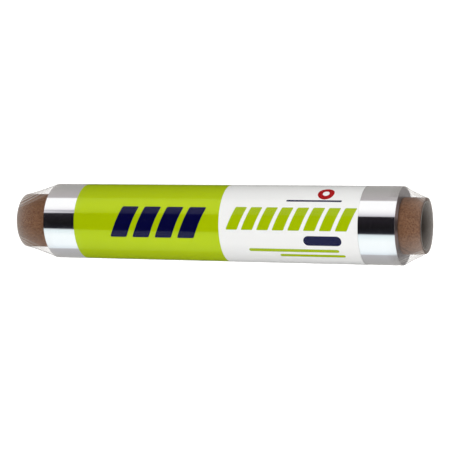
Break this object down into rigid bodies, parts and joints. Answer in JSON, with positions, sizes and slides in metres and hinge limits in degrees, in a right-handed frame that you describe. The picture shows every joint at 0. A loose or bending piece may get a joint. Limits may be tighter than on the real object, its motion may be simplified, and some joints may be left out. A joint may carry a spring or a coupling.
{
  "type": "aluminium foil roll",
  "caption": "Catering roll of aluminium foil on an open cardboard core, with a printed paper band and a clear shrink wrap drawn in to both core rims.",
  "frame": {"origin": "centre of the foot, on the surface that the lower core rim stands on", "axes": "+Z along the roll's axis, from the end with the longer core stub up to the other; the label's glued seam is at the back, on +Y"},
  "size_m": [0.0606, 0.0606, 0.3352],
  "materials": {
    "kraft_board": "matt spiral-wound kraft board",
    "foil": "bright side of rolled foil",
    "label_paper": "coated paper, printed in a green and a white field",
    "clear_film": "clear glossy shrink film"
  },
  "bodies": {
    "root": {"core_tube": "kraft_board", "foil_winding": "foil", "label_band": "label_paper", "shrink_film": "clear_film"}
  },
  "joints": []
}
